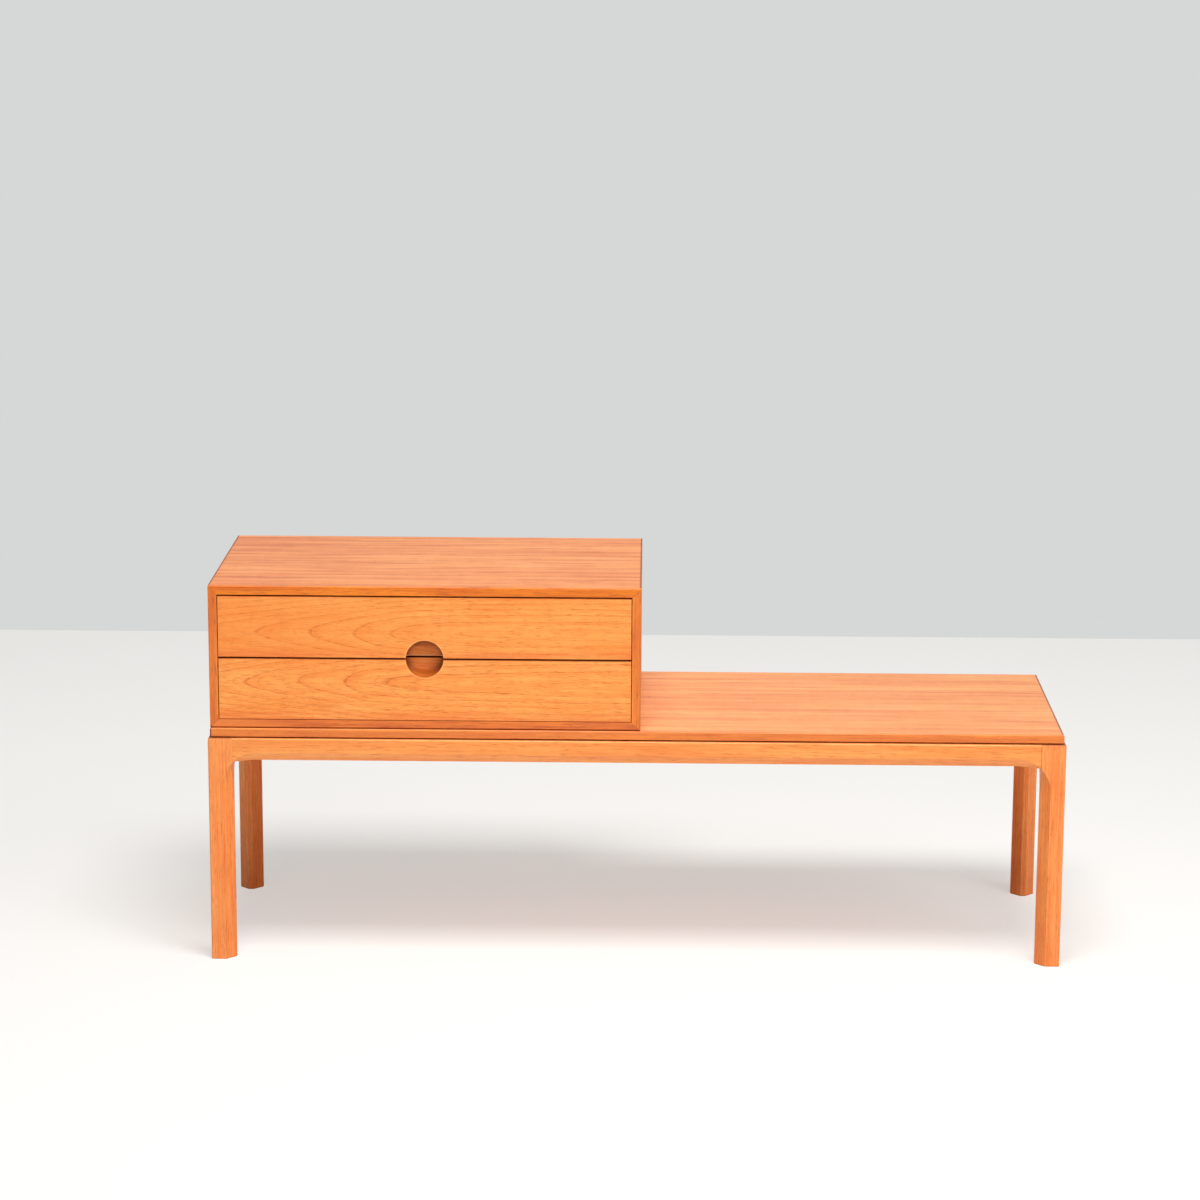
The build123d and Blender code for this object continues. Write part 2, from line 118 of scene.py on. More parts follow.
class Nodes:
    """A node tree, with short ways to add nodes to it."""

    def __init__(self, tree):
        self.tree = tree
        self.tree.nodes.clear()

    def add(self, kind, inputs, **settings):
        node = self.tree.nodes.new("ShaderNode" + kind)
        for key, value in settings.items():
            setattr(node, key, value)
        for key, value in inputs.items():
            if isinstance(value, bpy.types.NodeSocket):
                self.tree.links.new(value, node.inputs[key])
            else:
                node.inputs[key].default_value = value
        return node

    def math(self, operation, *values, clamp=False):
        return self.add("Math", dict(enumerate(values)), operation=operation, use_clamp=clamp).outputs[0]

    def vector(self, operation, *values):
        return self.add("VectorMath", dict(enumerate(values)), operation=operation)

    def seen(self):
        """1 where the camera sees a thing itself or its reflection, and 0 for the light that it casts."""
        path = self.add("LightPath", {}).outputs
        return self.math("MAXIMUM", path["Is Camera Ray"], path["Is Glossy Ray"])


class Shader(Nodes):
    """One material's node tree."""

    seed_steps = (17.31, 29.77, 41.93)  # how far a seed shifts the noise along each axis
    seed_wraps = (97, 89, 83)
    ripple_step, ripple_wrap = 13.7, 71

    def __init__(self, name):
        self.material = bpy.data.materials.new(name)
        self.material.use_nodes = True
        super().__init__(self.material.node_tree)

    def total(self, start, *terms):
        """start plus the sum of each (value, weight)."""
        for value, weight in terms:
            start = self.math("MULTIPLY_ADD", value, weight, start)
        return start

    def clamp(self, value):
        return self.math("ADD", value, 0.0, clamp=True)

    def span(self, value, low, high, to_low=0.0, to_high=1.0):
        ends = {0: value, 1: low, 2: high, 3: to_low, 4: to_high}
        return self.add("MapRange", ends, interpolation_type="SMOOTHSTEP").outputs[0]

    def noise(self, place, sizes, seed, detail=2.0, colour=False):
        """Noise whose cells have the given sizes, centred on zero unless its colour is asked for."""
        spread = [1 / size for size in sizes]
        shift = [seed * step % wrap for step, wrap in zip(self.seed_steps, self.seed_wraps)]
        scaled = self.vector("MULTIPLY_ADD", place, spread, shift).outputs[0]
        node = self.add("TexNoise", {"Vector": scaled, "Scale": 1.0, "Detail": detail})
        return node.outputs[1] if colour else self.math("SUBTRACT", node.outputs[0], 0.5)

    def ripple(self, value, size, seed):
        """Noise along one value, centred on zero."""
        place = self.math("MULTIPLY_ADD", value, 1 / size, seed * self.ripple_step % self.ripple_wrap)
        node = self.add("TexNoise", {"W": place, "Scale": 1.0, "Detail": 1.0}, noise_dimensions="1D")
        return self.math("SUBTRACT", node.outputs[0], 0.5)

    def mix(self, factor, a, b):
        return self.add("Mix", {0: factor, 6: a, 7: b}, data_type="RGBA").outputs[2]

    def scale(self, vector, factor):
        return self.add("VectorMath", {0: vector, "Scale": factor}, operation="SCALE").outputs[0]

    def curve(self, value, low, high, points):
        """A smooth curve through points, read between low and high. Its values lie between 0 and 1."""
        share = self.add("MapRange", {0: value, 1: low, 2: high}).outputs[0]
        node = self.add("FloatCurve", {"Value": share})
        line = node.mapping.curves[0]
        while len(line.points) < len(points):
            line.points.new(0.5, 0.5)
        for point, (at, height) in zip(line.points, points):
            point.location = ((at - low) / (high - low), height)
        node.mapping.update()
        return node.outputs[0]

    def finish(self, looks, height, bump, depth):
        """Makes the surface, with bumps of the given depth in metres."""
        normal = self.add("Bump", {"Strength": bump, "Distance": depth, "Height": height}).outputs[0]
        surface = self.add("BsdfPrincipled", {**looks, "Normal": normal})
        self.add("OutputMaterial", {"Surface": surface.outputs[0]})
        return self.material


# Noise in the woods: sizes along the grain, across it and into the piece
stray_size = (210, 75, 75)
waver_size = (70, 9, 9)
fading_size = (110, 22, 40)
broken_size = (13, 1.1, 1.1)
fibre_size = (36, 0.6, 0.6)
figure_size = (17, 48, 48)
pore_size = (8, 0.4, 0.4)
rubbed_size = (22, 22, 22)
ragged_size = (90, 5, 40)
inward_size = 60  # of the noises whose sizes each wood sets along and across
spacing_rings, strength_rings = 2.4, 1.9  # rings over which their spacing and strength vary

# Ramps: from, to and, where they aren't 0 and 1, the least and the most that they give
strength_ramp = (-0.22, 0.2, 0.3, 1.0)
fading_ramp = (-0.2, 0.14, 0.2, 1.0)
broken_ramp = (-0.2, 0.12, 0.25, 1.0)
late_ramp = (0.45, 1.0)
outer_ramp = (0.97, 1.0)  # the sharp side of a ring's line
dash_ramp = (0.07, 0.18)
pore_ramp = (0.12, 0.22)
rubbed_ramp = (-0.16, 0.14)
ragged_ramp = (-0.2, 0.15)
painted_shade_ramp = (0.4, 0.7)
end_ramp = (0.2, 0.9)

# Shares and weights that all the woods have in common
waver_share = 0.2  # of the rings' wander
fine_lines = 2.3  # for each ring
fine_line_share = 0.5  # of the rings' line colour
gathering = 0.1  # how much denser pores and dashes are in the rings
fibre_tint = 0.14
sawn_end_tint = 0.62  # of the line colour
rubbed_tint = 1.06  # of the light colour
rubbed_width = 1.6
band_core = 0.3  # share of a band's width that has its whole strength
fibre_rough, figure_rough, pore_rough, rubbed_rough = 0.12, -0.08, 0.12, -0.1
fibre_height, pore_height, ring_height, strand_height = 0.5, -0.8, -0.25, 0.2
wood_depth = 0.0002  # of the bumps, in metres
painted_shade_factors = (0.85, 0.8, 0.67)  # red, green and blue that a leg's faces keep under the painted shade


def edge_distance(s, place, half):
    """Distance from a box's nearest edge, for a point on its surface: the second least from its faces."""
    inside = s.vector("SUBTRACT", half, s.vector("ABSOLUTE", place).outputs[0]).outputs[0]
    x, y, z = s.add("SeparateXYZ", {0: inside}).outputs
    least = s.math("MINIMUM", x, y)
    most = s.math("MAXIMUM", x, y)
    return s.math("MAXIMUM", least, s.math("MINIMUM", most, z))


def ring_count(s, wood, cut, grain, along, seed):
    """The number of growth rings between the pith and a point."""
    stray = s.noise(grain, stray_size, seed, detail=1.0, colour=True)
    waver = s.noise(grain, waver_size, seed + 1, colour=True)
    wavering = wood.wander * waver_share
    bent = s.vector("MULTIPLY_ADD", stray, (0, wood.wander, wood.wander), grain).outputs[0]
    bent = s.vector("MULTIPLY_ADD", waver, (0, wavering, wavering), bent).outputs[0]
    mean_shift = (wood.wander + wavering) / 2
    offset = (0, -cut.pith[0] - mean_shift, -cut.pith[1] - mean_shift)
    radial = s.vector("MULTIPLY_ADD", bent, (0, 1, 1), offset).outputs[0]
    radius = s.vector("LENGTH", radial).outputs[1]
    if cut.tips:
        whole = cut.tips[-1][1]
        points = [(at, shift / whole) for at, shift in cut.tips]
        shift = s.curve(along, cut.tips[0][0], cut.tips[-1][0], points)
        radius = s.math("MULTIPLY_ADD", shift, -whole, radius)
    count = s.math("DIVIDE", radius, wood.spacing)
    return s.total(count, (s.ripple(count, spacing_rings, seed), wood.uneven))


def ring_line(s, count, width):
    """A thin line at each ring, with a sharp outer side and a softer inner one."""
    share = s.math("FRACT", count)
    return s.math("MAXIMUM", s.span(share, *outer_ramp), s.span(share, 0.0, width, 1.0, 0.0))


def wood_material(name, wood, cut, box, seed, bands, rounds):
    """Wood with growth rings, streaks, fibres, pores and rubbed arrises, and with a piece's own tints."""
    low, high = (corner * MM for corner in box)
    middle, half = (low + high) / 2, (high - low) / 2
    s = Shader(name)
    here = s.add("TexCoord", {}).outputs["Object"]
    place = s.vector("MULTIPLY_ADD", here, (MM, MM, MM), -middle).outputs[0]
    split = s.add("SeparateXYZ", {0: place}).outputs
    along, across, depth = (split[axis] for axis in cut.axes)
    across = s.math("MULTIPLY_ADD", along, cut.slope, across)
    grain = s.add("CombineXYZ", {0: along, 1: across, 2: depth}).outputs[0]

    # Growth rings
    count = ring_count(s, wood, cut, grain, along, seed)
    strength = s.span(s.ripple(count, strength_rings, seed + 2), *strength_ramp)
    fading = s.span(s.noise(grain, fading_size, seed + 3), *fading_ramp)
    broken = s.span(s.noise(grain, broken_size, seed + 12), *broken_ramp)
    shown = s.math("MULTIPLY_ADD", s.math("MULTIPLY", strength, fading), 1 - wood.clear, wood.clear)
    late = s.math("MULTIPLY", s.span(s.math("FRACT", count), *late_ramp), shown)
    ring = s.math("MULTIPLY", ring_line(s, count, wood.line_width), s.math("MULTIPLY", shown, broken))
    between = ring_line(s, s.math("MULTIPLY", count, fine_lines), wood.line_width)
    fine = s.math("MULTIPLY", between, s.math("MULTIPLY", fading, broken))

    # Streaks, fibres and pores
    streak = s.noise(grain, (*wood.streak_size, inward_size), seed + 4, detail=3.0)
    blotch = s.noise(grain, (*wood.blotch_size, inward_size), seed + 5)
    strand = s.noise(grain, (*wood.strand_size, inward_size), seed + 6, detail=3.0)
    fibre = s.noise(grain, fibre_size, seed + 7)
    figure = s.noise(grain, figure_size, seed + 9)
    gathered = s.math("MULTIPLY", ring, gathering)
    dashes = s.noise(grain, (*wood.dash_size, inward_size), seed + 11)
    dash = s.span(s.math("ADD", dashes, gathered), *dash_ramp)
    pores = s.noise(grain, pore_size, seed + 8, detail=1.0)
    pore = s.span(s.math("ADD", pores, gathered), *pore_ramp)

    broad = (late, wood.ring), (fine, wood.fine), (streak, wood.streak), (blotch, wood.blotch)
    tone = s.total(wood.tone, *broad, (strand, wood.strand))
    colour = s.mix(s.clamp(tone), shade(*wood.light), shade(*wood.dark))
    lines = (ring, wood.line_share), (fine, fine_line_share * wood.line_share)
    thin = s.total(0.0, *lines, (pore, wood.pore), (dash, wood.dash))
    colour = s.mix(s.clamp(thin), colour, shade(*wood.line))
    colour = s.scale(colour, s.total(1.0, (fibre, fibre_tint), (figure, wood.figure)))

    # Painted shade on faces turned from the light, and sawn ends
    normal = s.add("NewGeometry", {}).outputs["True Normal"]
    if cut.painted_shade_way:
        turned = s.vector("DOT_PRODUCT", normal, cut.painted_shade_way).outputs[1]
        darker = s.vector("MULTIPLY", colour, painted_shade_factors).outputs[0]
        colour = s.mix(s.span(turned, *painted_shade_ramp), colour, darker)
    facing_end = s.math("ABSOLUTE", s.add("SeparateXYZ", {0: normal}).outputs[cut.axes[0]])
    sawn = s.span(facing_end, *end_ramp, 0.0, wood.end_grain)
    colour = s.mix(sawn, colour, shade(*(sawn_end_tint * part for part in wood.line)))

    # Tints of the piece, with the rubbed arrises and their painted highlight over the rounds and under the
    # bands
    gloss = wood.gloss

    def dulled(shown):
        return s.math("MULTIPLY", gloss, s.math("SUBTRACT", 1.0, shown))

    for tint in rounds:
        away = s.vector("SUBTRACT", here, tint.centre).outputs[0]
        away = s.vector("LENGTH", s.vector("MULTIPLY", away, (MM, 0, MM)).outputs[0]).outputs[1]
        shown = s.span(away, tint.inner, tint.outer, *tint.strengths)
        colour = s.mix(shown, colour, shade(*tint.tint))
        gloss = dulled(shown) if tint.dull else gloss

    patchy = s.span(s.noise(place, rubbed_size, seed + 10, detail=3.0), *rubbed_ramp)
    edge = s.span(edge_distance(s, place, half), 0.0, rubbed_width, wood.wear_and_highlight, 0.0)
    rubbed = s.math("MULTIPLY", edge, patchy)
    colour = s.mix(rubbed, colour, shade(*(min(255, rubbed_tint * part) for part in wood.light)))

    for band in bands:
        gap = s.vector("DOT_PRODUCT", here, Vector(band.normal) * MM).outputs[1]
        gap = s.math("ABSOLUTE", s.math("SUBTRACT", gap, band.at))
        shown = s.span(gap, band_core * band.width, band.width, band.strength, 0.0)
        if band.ragged:
            torn = s.span(s.noise(grain, ragged_size, seed + 13, detail=3.0), *ragged_ramp)
            shown = s.math("MULTIPLY", shown, torn)
        colour = s.mix(shown, colour, shade(*band.tint))
        gloss = dulled(shown) if band.dull else gloss

    rough = s.total(wood.rough, (fibre, fibre_rough), (figure, figure_rough),
                    (pore, pore_rough), (rubbed, rubbed_rough))
    height = s.total(0.0, (fibre, fibre_height), (pore, pore_height),
                     (ring, ring_height), (strand, strand_height))
    looks = {"Base Color": colour, "Roughness": rough, "Specular IOR Level": gloss}
    return s.finish(looks, height, wood.bump, wood_depth)


# Steel
steel_light, steel_dark = (176, 174, 170), (120, 116, 110)
stain_size, stain_seed, stain_ramp = (2.5, 2.5, 2.5), 3, (-0.15, 0.2)
mark_size, mark_seed = (0.25, 0.25, 0.25), 5
steel_rough, stain_rough, mark_rough = 0.38, 0.25, 0.2
mark_bump, mark_depth = 0.3, 0.0001


def steel_material(name):
    """Dull zinc-plated steel with fine turning marks and stains."""
    s = Shader(name)
    place = s.scale(s.add("TexCoord", {}).outputs["Object"], MM)
    stain = s.noise(place, stain_size, stain_seed, detail=4.0)
    marks = s.noise(place, mark_size, mark_seed)
    colour = s.mix(s.span(stain, *stain_ramp), shade(*steel_light), shade(*steel_dark))
    rough = s.total(steel_rough, (stain, stain_rough), (marks, mark_rough))
    looks = {"Base Color": colour, "Roughness": rough, "Metallic": 1.0}
    return s.finish(looks, marks, mark_bump, mark_depth)


# Woods
teak_front = Wood(
    light=(255, 170, 84), dark=(246, 136, 50), line=(214, 92, 16), spacing=5.4, fine=0.2, line_share=0.8,
    clear=0.6, wander=4.0, uneven=0.4, streak=1.1, streak_size=(130, 6), blotch=1.0, strand=1.4,
    strand_size=(40, 2.0), dash=0.5, dash_size=(13, 1.2), pore=0.55)
teak_top = Wood(
    light=(243, 158, 91), dark=(212, 114, 58), line=(186, 90, 44), spacing=22.0, line_width=0.3,
    line_share=0.8, uneven=1.0, streak=1.7, streak_size=(420, 18), strand=1.8, strand_size=(220, 8),
    dash=0.35, dash_size=(80, 7))
teak_seat = replace(
    teak_top, light=(248, 171, 103), dark=(227, 130, 73), line=(204, 104, 54), strand=1.5, dash=0.2)
# Its paler arrises are made stronger as a painted highlight on the rails' top arris
teak_solid = Wood(
    light=(255, 166, 84), dark=(240, 130, 53), line=(212, 96, 32), spacing=4.6, ring=0.25, fine=0.25,
    line_share=0.3, streak_size=(340, 7), blotch_size=(140, 18), strand=1.4, dash=0.5,
    dash_size=(22, 1.7), wear_and_highlight=0.45)
teak_leg = replace(
    teak_solid, light=(255, 165, 94), dark=(240, 124, 58), line=(208, 90, 38), fine=0.4, strand=2.0,
    strand_size=(60, 1.8), dash=0.45, dash_size=(14, 1.1), gloss=0.2)
teak_lipping = replace(
    teak_solid, light=(242, 136, 46), dark=(212, 96, 27), line=(166, 68, 18), spacing=2.6, blotch=1.8,
    wear_and_highlight=0.3)
top_lipping = replace(teak_lipping, light=(245, 135, 22), dark=(210, 94, 10))
bottom_lipping = replace(teak_lipping, light=(236, 126, 45), dark=(188, 80, 32))
seat_lipping = replace(
    teak_lipping, light=(242, 138, 55), dark=(210, 102, 42), line=(184, 82, 34), blotch=0.8, dash=0.3,
    wear_and_highlight=0.0)
seat_end_lipping = replace(teak_lipping, light=(180, 92, 48), dark=(150, 72, 36), line=(112, 50, 24))
teak_pull = replace(
    teak_solid, light=(255, 156, 80), dark=(230, 112, 52), line=(160, 60, 28), spacing=3.0, dash=0.3,
    gloss=0.1, end_grain=0.7)
hardwood = Wood(
    light=(234, 192, 142), dark=(214, 166, 114), line=(180, 132, 86), ring=0.35, line_share=0.15,
    pore=0.25, rough=0.6)
plywood = Wood(
    light=(226, 170, 116), dark=(204, 144, 92), line=(168, 108, 64), ring=0.35, line_share=0.15,
    pore=0.3, rough=0.6)

# Which axes run along the grain, across it and into the piece
along_x, along_x_flat, along_y = (X, Z, Y), (X, Y, Z), (Y, Z, X)
along_z, along_z_side = (Z, X, Y), (Z, Y, X)

# Where the pith lies from a piece's middle, across and into it
leg_pith = (-60, -40)
rail_pith = (-50, -40)
lipping_pith = (-80, -60)
board_pith = (-600, -150)
pull_slope = 0.05

# The way that each leg's faces with painted shade look. The longer it is, the more of them are darkened.
painted_shade_ways = {
    "leg_front_left": (0.85, 0, 0),
    "leg_front_right": (-1, 0, 0),
    "leg_back_left": (0.45, -0.55, 0),
    "leg_back_right": (-0.45, -0.55, 0),
}

# Arches on the drawer fronts: where their tips lie from the left end, and how they run out past the last tip
arch_tips = {"upper": (54.0, 116.0, 178.0, 236.0), "lower": (42.0, 99.0, 162.0, 211.0)}
arch_middle = {"upper": -7.4, "lower": 9.8}  # height above the front's middle
arch_depth = 20.4  # from the front's middle to the pith behind it
run_out_at = 60.0  # from the front's middle
run_out_rings = 0.55  # that the rings have shifted there
end_rings = 0.8  # and at the right end


def arched_cut(level, width, thickness):
    """A drawer front sawn beside the pith: its rings make arches that point left and run out straight."""
    step = teak_front.spacing
    first = (arch_depth + thickness / 2) % step
    tips = [(-width / 2, 0.0)]
    tips += [(at - width / 2, first + step * number) for number, at in enumerate(arch_tips[level])]
    last = tips[-1][1]
    tips += [(run_out_at, last + run_out_rings * step), (width / 2, last + end_rings * step)]
    return Cut(along_x, pith=(arch_middle[level], arch_depth), slope=0.0, tips=tuple(tips))


def plan(node):
    """The wood of a node and how it was cut."""
    if node.endswith("drawer_front"):
        low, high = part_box(node)
        width, thickness, _ = (high - low) * MM
        return teak_front, arched_cut(node.split("_")[0], width, thickness)
    if node.endswith("pull"):
        return teak_pull, Cut(along_x, slope=pull_slope)
    if "drawer_bottom" in node:
        return plywood, Cut(along_x_flat)
    if node == "case_back_panel":
        return plywood, Cut(along_x)
    if node == "case_mitre_splines":
        return plywood, Cut(along_y)
    if "drawer" in node:
        return hardwood, Cut(along_y if node.endswith("side") else along_x)
    if node.startswith("runner"):
        return hardwood, Cut(along_y)
    if "block" in node:
        return hardwood, Cut(along_x)
    if node.startswith("leg"):
        return teak_leg, Cut(along_z, pith=leg_pith, painted_shade_way=painted_shade_ways[node])
    if node in ("rail_left", "rail_right"):
        return teak_solid, Cut(along_y, pith=rail_pith)
    if node.startswith("rail"):
        return teak_solid, Cut(along_x, pith=rail_pith)
    if node in ("seat_lipping_left", "seat_lipping_right"):
        return seat_end_lipping, Cut(along_y)
    if node.startswith("seat_lipping"):
        return seat_lipping, Cut(along_x)
    if node == "seat_board":
        return teak_seat, Cut(along_x_flat, pith=board_pith)
    if node.startswith("case_lipping"):
        wood = {"top": top_lipping, "bottom": bottom_lipping}.get(node.split("_")[-1], teak_lipping)
        return wood, Cut(along_z if "side" in node else along_x, pith=lipping_pith)
    if node in ("case_left_side", "case_right_side"):
        return teak_top, Cut(along_z_side, pith=board_pith)
    return teak_top, Cut(along_x_flat, pith=board_pith)


# Tints, among them painted shade and painted light
dirt_and_shade = (112, 42, 12)  # dirt where pieces meet, and painted shade in the shadow gap under the seat and on some arrises
gap_painted_shade = (150, 52, 8)  # painted shade on the edges of the drawer fronts, seen in the gaps between them
joint_line = (160, 66, 22)  # between rails and legs
light_end = (246, 140, 58)  # left end of the case's bottom lipping
red_edge = (232, 108, 44)  # lower edges of the drawer fronts
red_end = (242, 126, 42)  # left end of the upper front
# painted shade: the legs darker and redder towards the feet
foot_painted_shade = (188, 100, 54)
pull_gap_painted_shade = (84, 16, 2)  # painted shade in the gap between the cups of the finger pull
cup_wall_painted_shade = (112, 46, 24)  # painted shade at the cups' walls
# painted shadow under the upper cup's roof
cup_roof_painted_shadow = (112, 46, 34)
# painted light on the lower cup's floor
cup_floor_painted_light = (200, 103, 10)
rubbed_pull = (250, 178, 118)  # the upper cup's edge
rim_wear_and_highlight = (255, 186, 112)  # round the notches in the fronts: rubbed, and a painted highlight on the eased arris
notch_wall_painted_shade = (184, 84, 8)  # painted shade on the notches' walls

# The finger pull, measured from its middle
notch_radius = 24.5
shade_radius = 16.0  # where the shade at the cups' walls begins
cup_roof_height = 22.0
cup_floor_depth = 26.0


def mitre_bands(node):
    """Dark lines at the mitres at both ends of one of the case's lippings."""
    low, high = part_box("case_lipping_left_side")[0] * MM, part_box("case_lipping_right_side")[1] * MM
    corners = {"top": ((low, high), (high, high)), "bottom": ((low, low), (high, low)),
               "left_side": ((low, low), (low, high)), "right_side": ((high, low), (high, high))}
    slant = 0.5 ** 0.5
    bands = []
    for across, upright in corners[node.removeprefix("case_lipping_")]:
        rise = -slant if (across is low) == (upright is low) else slant
        at = slant * across[X] + rise * upright[Z]
        bands.append(Band((slant, 0, rise), at, width=0.9, strength=0.2, tint=dirt_and_shade))
    return bands


def pull_centre():
    """The middle of the round finger pull."""
    upper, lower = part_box("upper_drawer_pull"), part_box("lower_drawer_pull")
    centre = (upper[0] + upper[1]) / 2
    centre.z = (upper[0].z + lower[1].z) / 2
    return centre


def bands_of(node):
    """Dark lines where a node meets its neighbours, painted shade in gaps and on some arrises, and its paler
    and darker edges and ends.
    """
    low, high = (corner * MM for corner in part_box(node))
    stand_top = (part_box("leg_front_left")[1] * MM)[Z]
    # Painted shade in the shadow gap under the seat, on the tops of the legs and rails
    under_seat = Band(UP, stand_top, width=0.5, strength=0.4, tint=dirt_and_shade)
    pull_z = pull_centre().z * MM
    if node.startswith("leg"):
        # Painted shade, darker towards the feet, more on the back legs
        foot = Band(UP, low[Z], width=150, strength=0.14, tint=foot_painted_shade, dull=False)
        return [replace(under_seat, strength=0.3),
                Band(UP, low[Z], width=1.8, strength=0.4, tint=dirt_and_shade),
                foot if "front" in node else replace(foot, strength=0.18)]
    if node in ("rail_front", "rail_back"):
        inner = (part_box("leg_front_right")[0] * MM)[X]
        right_joint = Band(RIGHT, inner, width=1.6, strength=0.5, tint=joint_line)
        return [under_seat, replace(right_joint, at=-inner, strength=0.1), right_joint]
    if node in ("rail_left", "rail_right"):
        inner = (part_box("leg_back_right")[0] * MM)[Y]
        back_joint = Band(BACK, inner, width=1.6, strength=0.45, tint=joint_line)
        return [under_seat, replace(back_joint, at=-inner), back_joint]
    if node == "case_top":
        return [Band(RIGHT, end[X], width=3.0, strength=0.75, tint=dirt_and_shade) for end in (low, high)]
    if node == "case_lipping_bottom":
        return [Band(RIGHT, low[X], width=120.0, strength=0.6, tint=light_end, dull=False),
                *mitre_bands(node),
                Band(UP, low[Z], width=2.6, strength=1.0, tint=dirt_and_shade)]
    if node == "case_lipping_right_side":
        # Painted shade on the right arris of the right lipping
        return [*mitre_bands(node), Band(RIGHT, high[X], width=1.2, strength=0.3, tint=dirt_and_shade)]
    if node.startswith("case_lipping"):
        return mitre_bands(node)
    if node.endswith("drawer_front"):
        # Painted shade on the front's edges, seen in the gaps round it
        top_gap_shade = Band(UP, high[Z], width=0.9, strength=0.75, tint=gap_painted_shade)
        bands = [Band(UP, low[Z], width=15.0, strength=0.6, tint=red_edge, ragged=True, dull=False)]
        if node.startswith("upper"):
            bands.append(Band(RIGHT, low[X], width=330.0, strength=0.3, tint=red_end, dull=False))
            bands.append(replace(top_gap_shade, at=low[Z]))
        bands.append(top_gap_shade)
        return bands + [Band(RIGHT, end[X], width=0.6, strength=0.7, tint=gap_painted_shade) for end in (low, high)]
    if node == "seat_lipping_front":
        # Painted shade on the rounded left end of the seat's front lipping
        return [Band(RIGHT, low[X], width=2.4, strength=0.9, tint=dirt_and_shade)]
    if node == "upper_drawer_pull":
        # Painted shadow under the cup's roof, and the paler rubbed lower edge of the cup
        return [Band(UP, pull_z + cup_roof_height, width=11.0, strength=0.45, tint=cup_roof_painted_shadow, dull=False),
                Band(UP, low[Z], width=1.9, strength=0.9, tint=rubbed_pull, dull=False)]
    if node == "lower_drawer_pull":
        # Painted light on the cup's floor, and painted shade in the gap between the cups
        return [Band(UP, pull_z - cup_floor_depth, width=12.0, strength=0.8, tint=cup_floor_painted_light, dull=False),
                Band(UP, high[Z], width=0.7, strength=0.95, tint=pull_gap_painted_shade)]
    return []


def rounds_of(node):
    """Painted shade in the finger pull's cup and on the wall of the notch in front of it, and the notch's
    rim, rubbed and with a painted highlight.
    """
    centre = pull_centre()
    if node.endswith("pull"):
        # Painted shade at the cup's walls
        return [Round(centre, shade_radius, notch_radius, strengths=(0.0, 0.6), tint=cup_wall_painted_shade)]
    if node.endswith("drawer_front"):
        wall_start, wall_end, rim_start, rim_end = (notch_radius + past for past in (0.2, 0.5, 0.6, 2.4))
        # The notch's rim, rubbed and with a painted highlight, and painted shade on its wall
        return [Round(centre, rim_start, rim_end, strengths=(0.6, 0.0), tint=rim_wear_and_highlight),
                Round(centre, wall_start, wall_end, strengths=(0.95, 0.0), tint=notch_wall_painted_shade, dull=True)]
    return []


steel = steel_material("steel")
for number, (node, piece) in enumerate(sorted(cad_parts.items())):
    if "screws" in node or "pins" in node:
        material = steel
    else:
        wood, cut = plan(node)
        material = wood_material(node, wood, cut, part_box(node), number + 1, bands_of(node), rounds_of(node))
    piece.data.materials.clear()
    piece.data.materials.append(material)


def put(name, data, matrix=Matrix.Identity(4)):
    """Adds an object to the scene."""
    item = bpy.data.objects.new(name, data)
    item.matrix_world = matrix
    bpy.context.scene.collection.objects.link(item)
    return item


# Floor, in metres
floor_edge = 1.8  # how far it goes back
floor_reach = 6.0  # and to the other sides
floor_colour, floor_white = (248, 246, 243), (255, 254, 251)
floor_rough = 0.7
floor_glow = 0.48  # how much of the plain white the camera sees in the floor

left, right, near = -floor_reach, floor_reach, -floor_reach
corners = [(left, near, 0), (right, near, 0), (right, floor_edge, 0), (left, floor_edge, 0)]
floor_mesh = bpy.data.meshes.new("floor")
floor_mesh.from_pydata(corners, [], [(0, 1, 2, 3)])
floor = put("floor", floor_mesh)
s = Shader("floor")
lit = s.add("BsdfPrincipled", {"Base Color": shade(*floor_colour), "Roughness": floor_rough}).outputs[0]
glow = s.add("Emission", {"Color": shade(*floor_white), "Strength": 1.0}).outputs[0]
both = s.add("MixShader", {0: s.math("MULTIPLY", s.seen(), floor_glow), 1: lit, 2: glow}).outputs[0]
s.add("OutputMaterial", {"Surface": both})
floor_mesh.materials.append(s.material)

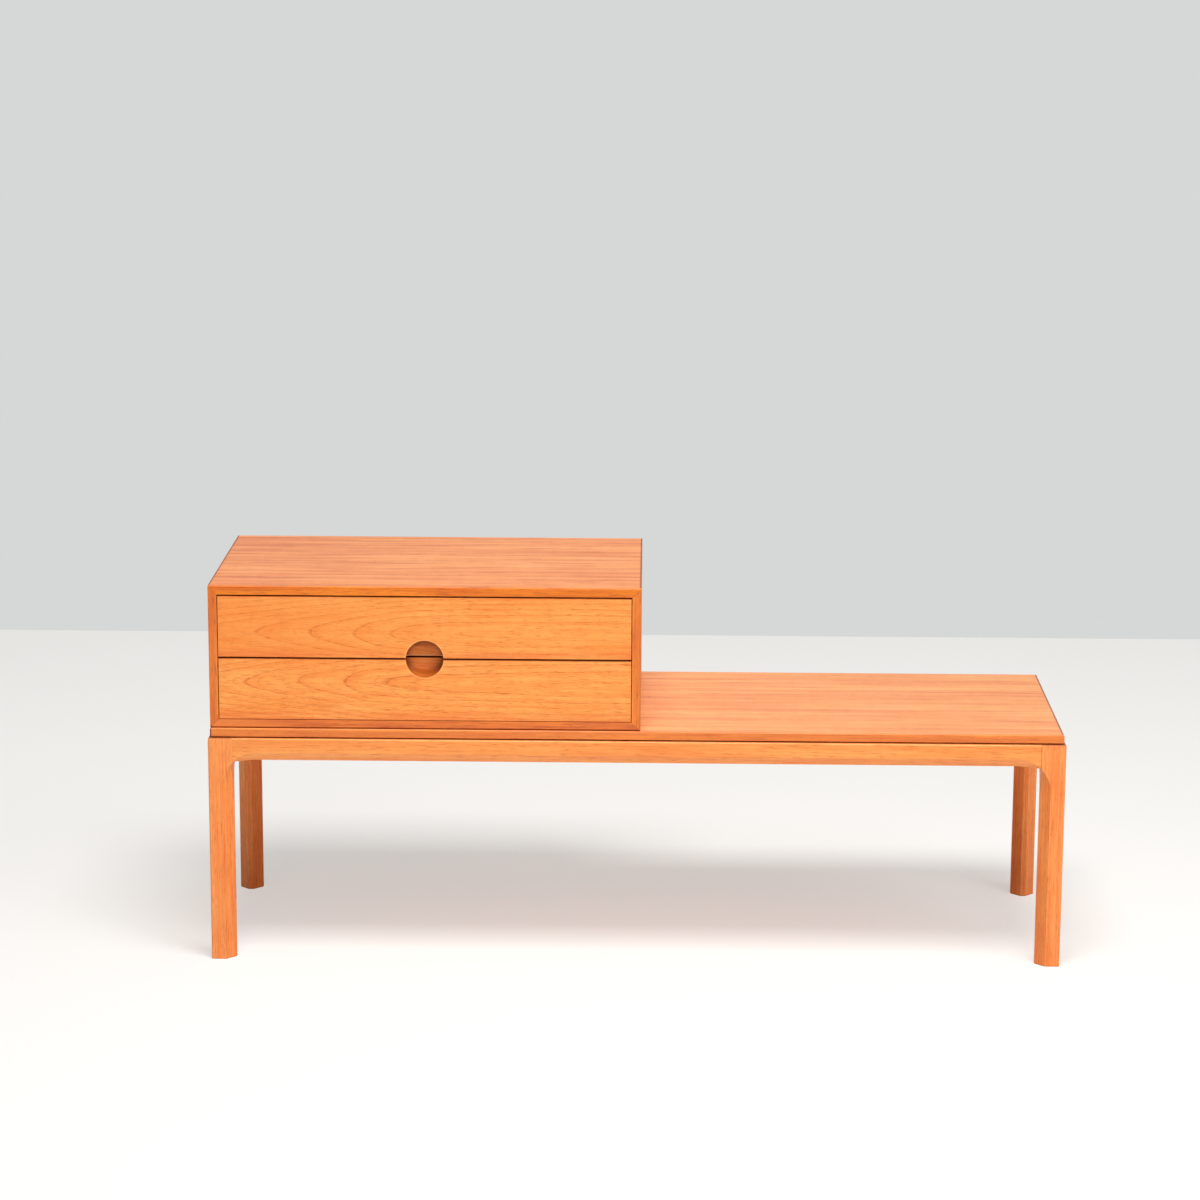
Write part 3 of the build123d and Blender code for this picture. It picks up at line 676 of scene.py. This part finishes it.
# Studio light
backdrop_colour = (214, 216, 215)
overhead_level = 0.68  # of the wide soft light in front and overhead
overhead_way = (0, -0.5, 0.866)
overhead_focus = 4.0
beside_level = 0.3  # of the pale wall on the right
lamp_target = (0, 0, 0.3)

world = bpy.data.worlds.new("studio")
bpy.context.scene.world = world
world.use_nodes = True
w = Nodes(world.node_tree)
direction = w.add("TexCoord", {}).outputs["Generated"]


def facing(way):
    """How far a direction of the world points one way, and 0 where it points away."""
    return w.math("MAXIMUM", w.vector("DOT_PRODUCT", direction, way).outputs["Value"], 0.0)


overhead = w.math("MULTIPLY", w.math("POWER", facing(overhead_way), overhead_focus), overhead_level)
beside = w.math("MULTIPLY", facing(RIGHT), beside_level)
level = w.math("ADD", overhead, beside)
ambient = w.add("Background", {"Color": (1, 1, 1, 1), "Strength": level}).outputs[0]
backdrop = w.add("Background", {"Color": shade(*backdrop_colour)}).outputs[0]
either = w.add("MixShader", {0: w.seen(), 1: ambient, 2: backdrop}).outputs[0]
w.add("OutputWorld", {"Surface": either})


def area_light(name, place, size, power):
    """A rectangular lamp that points at the bench."""
    lamp = bpy.data.lights.new(name, "AREA")
    lamp.shape = "RECTANGLE"
    lamp.size, lamp.size_y = size
    lamp.energy = power
    aim = Vector(lamp_target) - Vector(place)
    put(name, lamp, Matrix.Translation(place) @ aim.to_track_quat("-Z", "Y").to_matrix().to_4x4())


area_light("key", place=(0.15, -1.36, 3.5), size=(1.8, 1.2), power=114)
area_light("fill", place=(2.4, -2.0, 2.6), size=(2.0, 2.0), power=34)

# Camera, found from the corners of the bench in the photo
camera_place = (0.01867, -4.56191, 1.44422)
camera_yaw, camera_pitch, camera_roll = -0.01536, 0.21318, -0.00469
focal_pixels = 3444.4
image_pixels = 1200
sensor_width = 36

lens = bpy.data.cameras.new("camera")
lens.sensor_width = sensor_width
lens.lens = focal_pixels * sensor_width / image_pixels
turn = Matrix.Rotation(-camera_yaw, 4, "Z") @ Matrix.Rotation(pi / 2 - camera_pitch, 4, "X")
turn = turn @ Matrix.Rotation(-camera_roll, 4, "Z")
bpy.context.scene.camera = put("camera", lens, Matrix.Translation(camera_place) @ turn)
bpy.context.scene.view_settings.view_transform = "Standard"
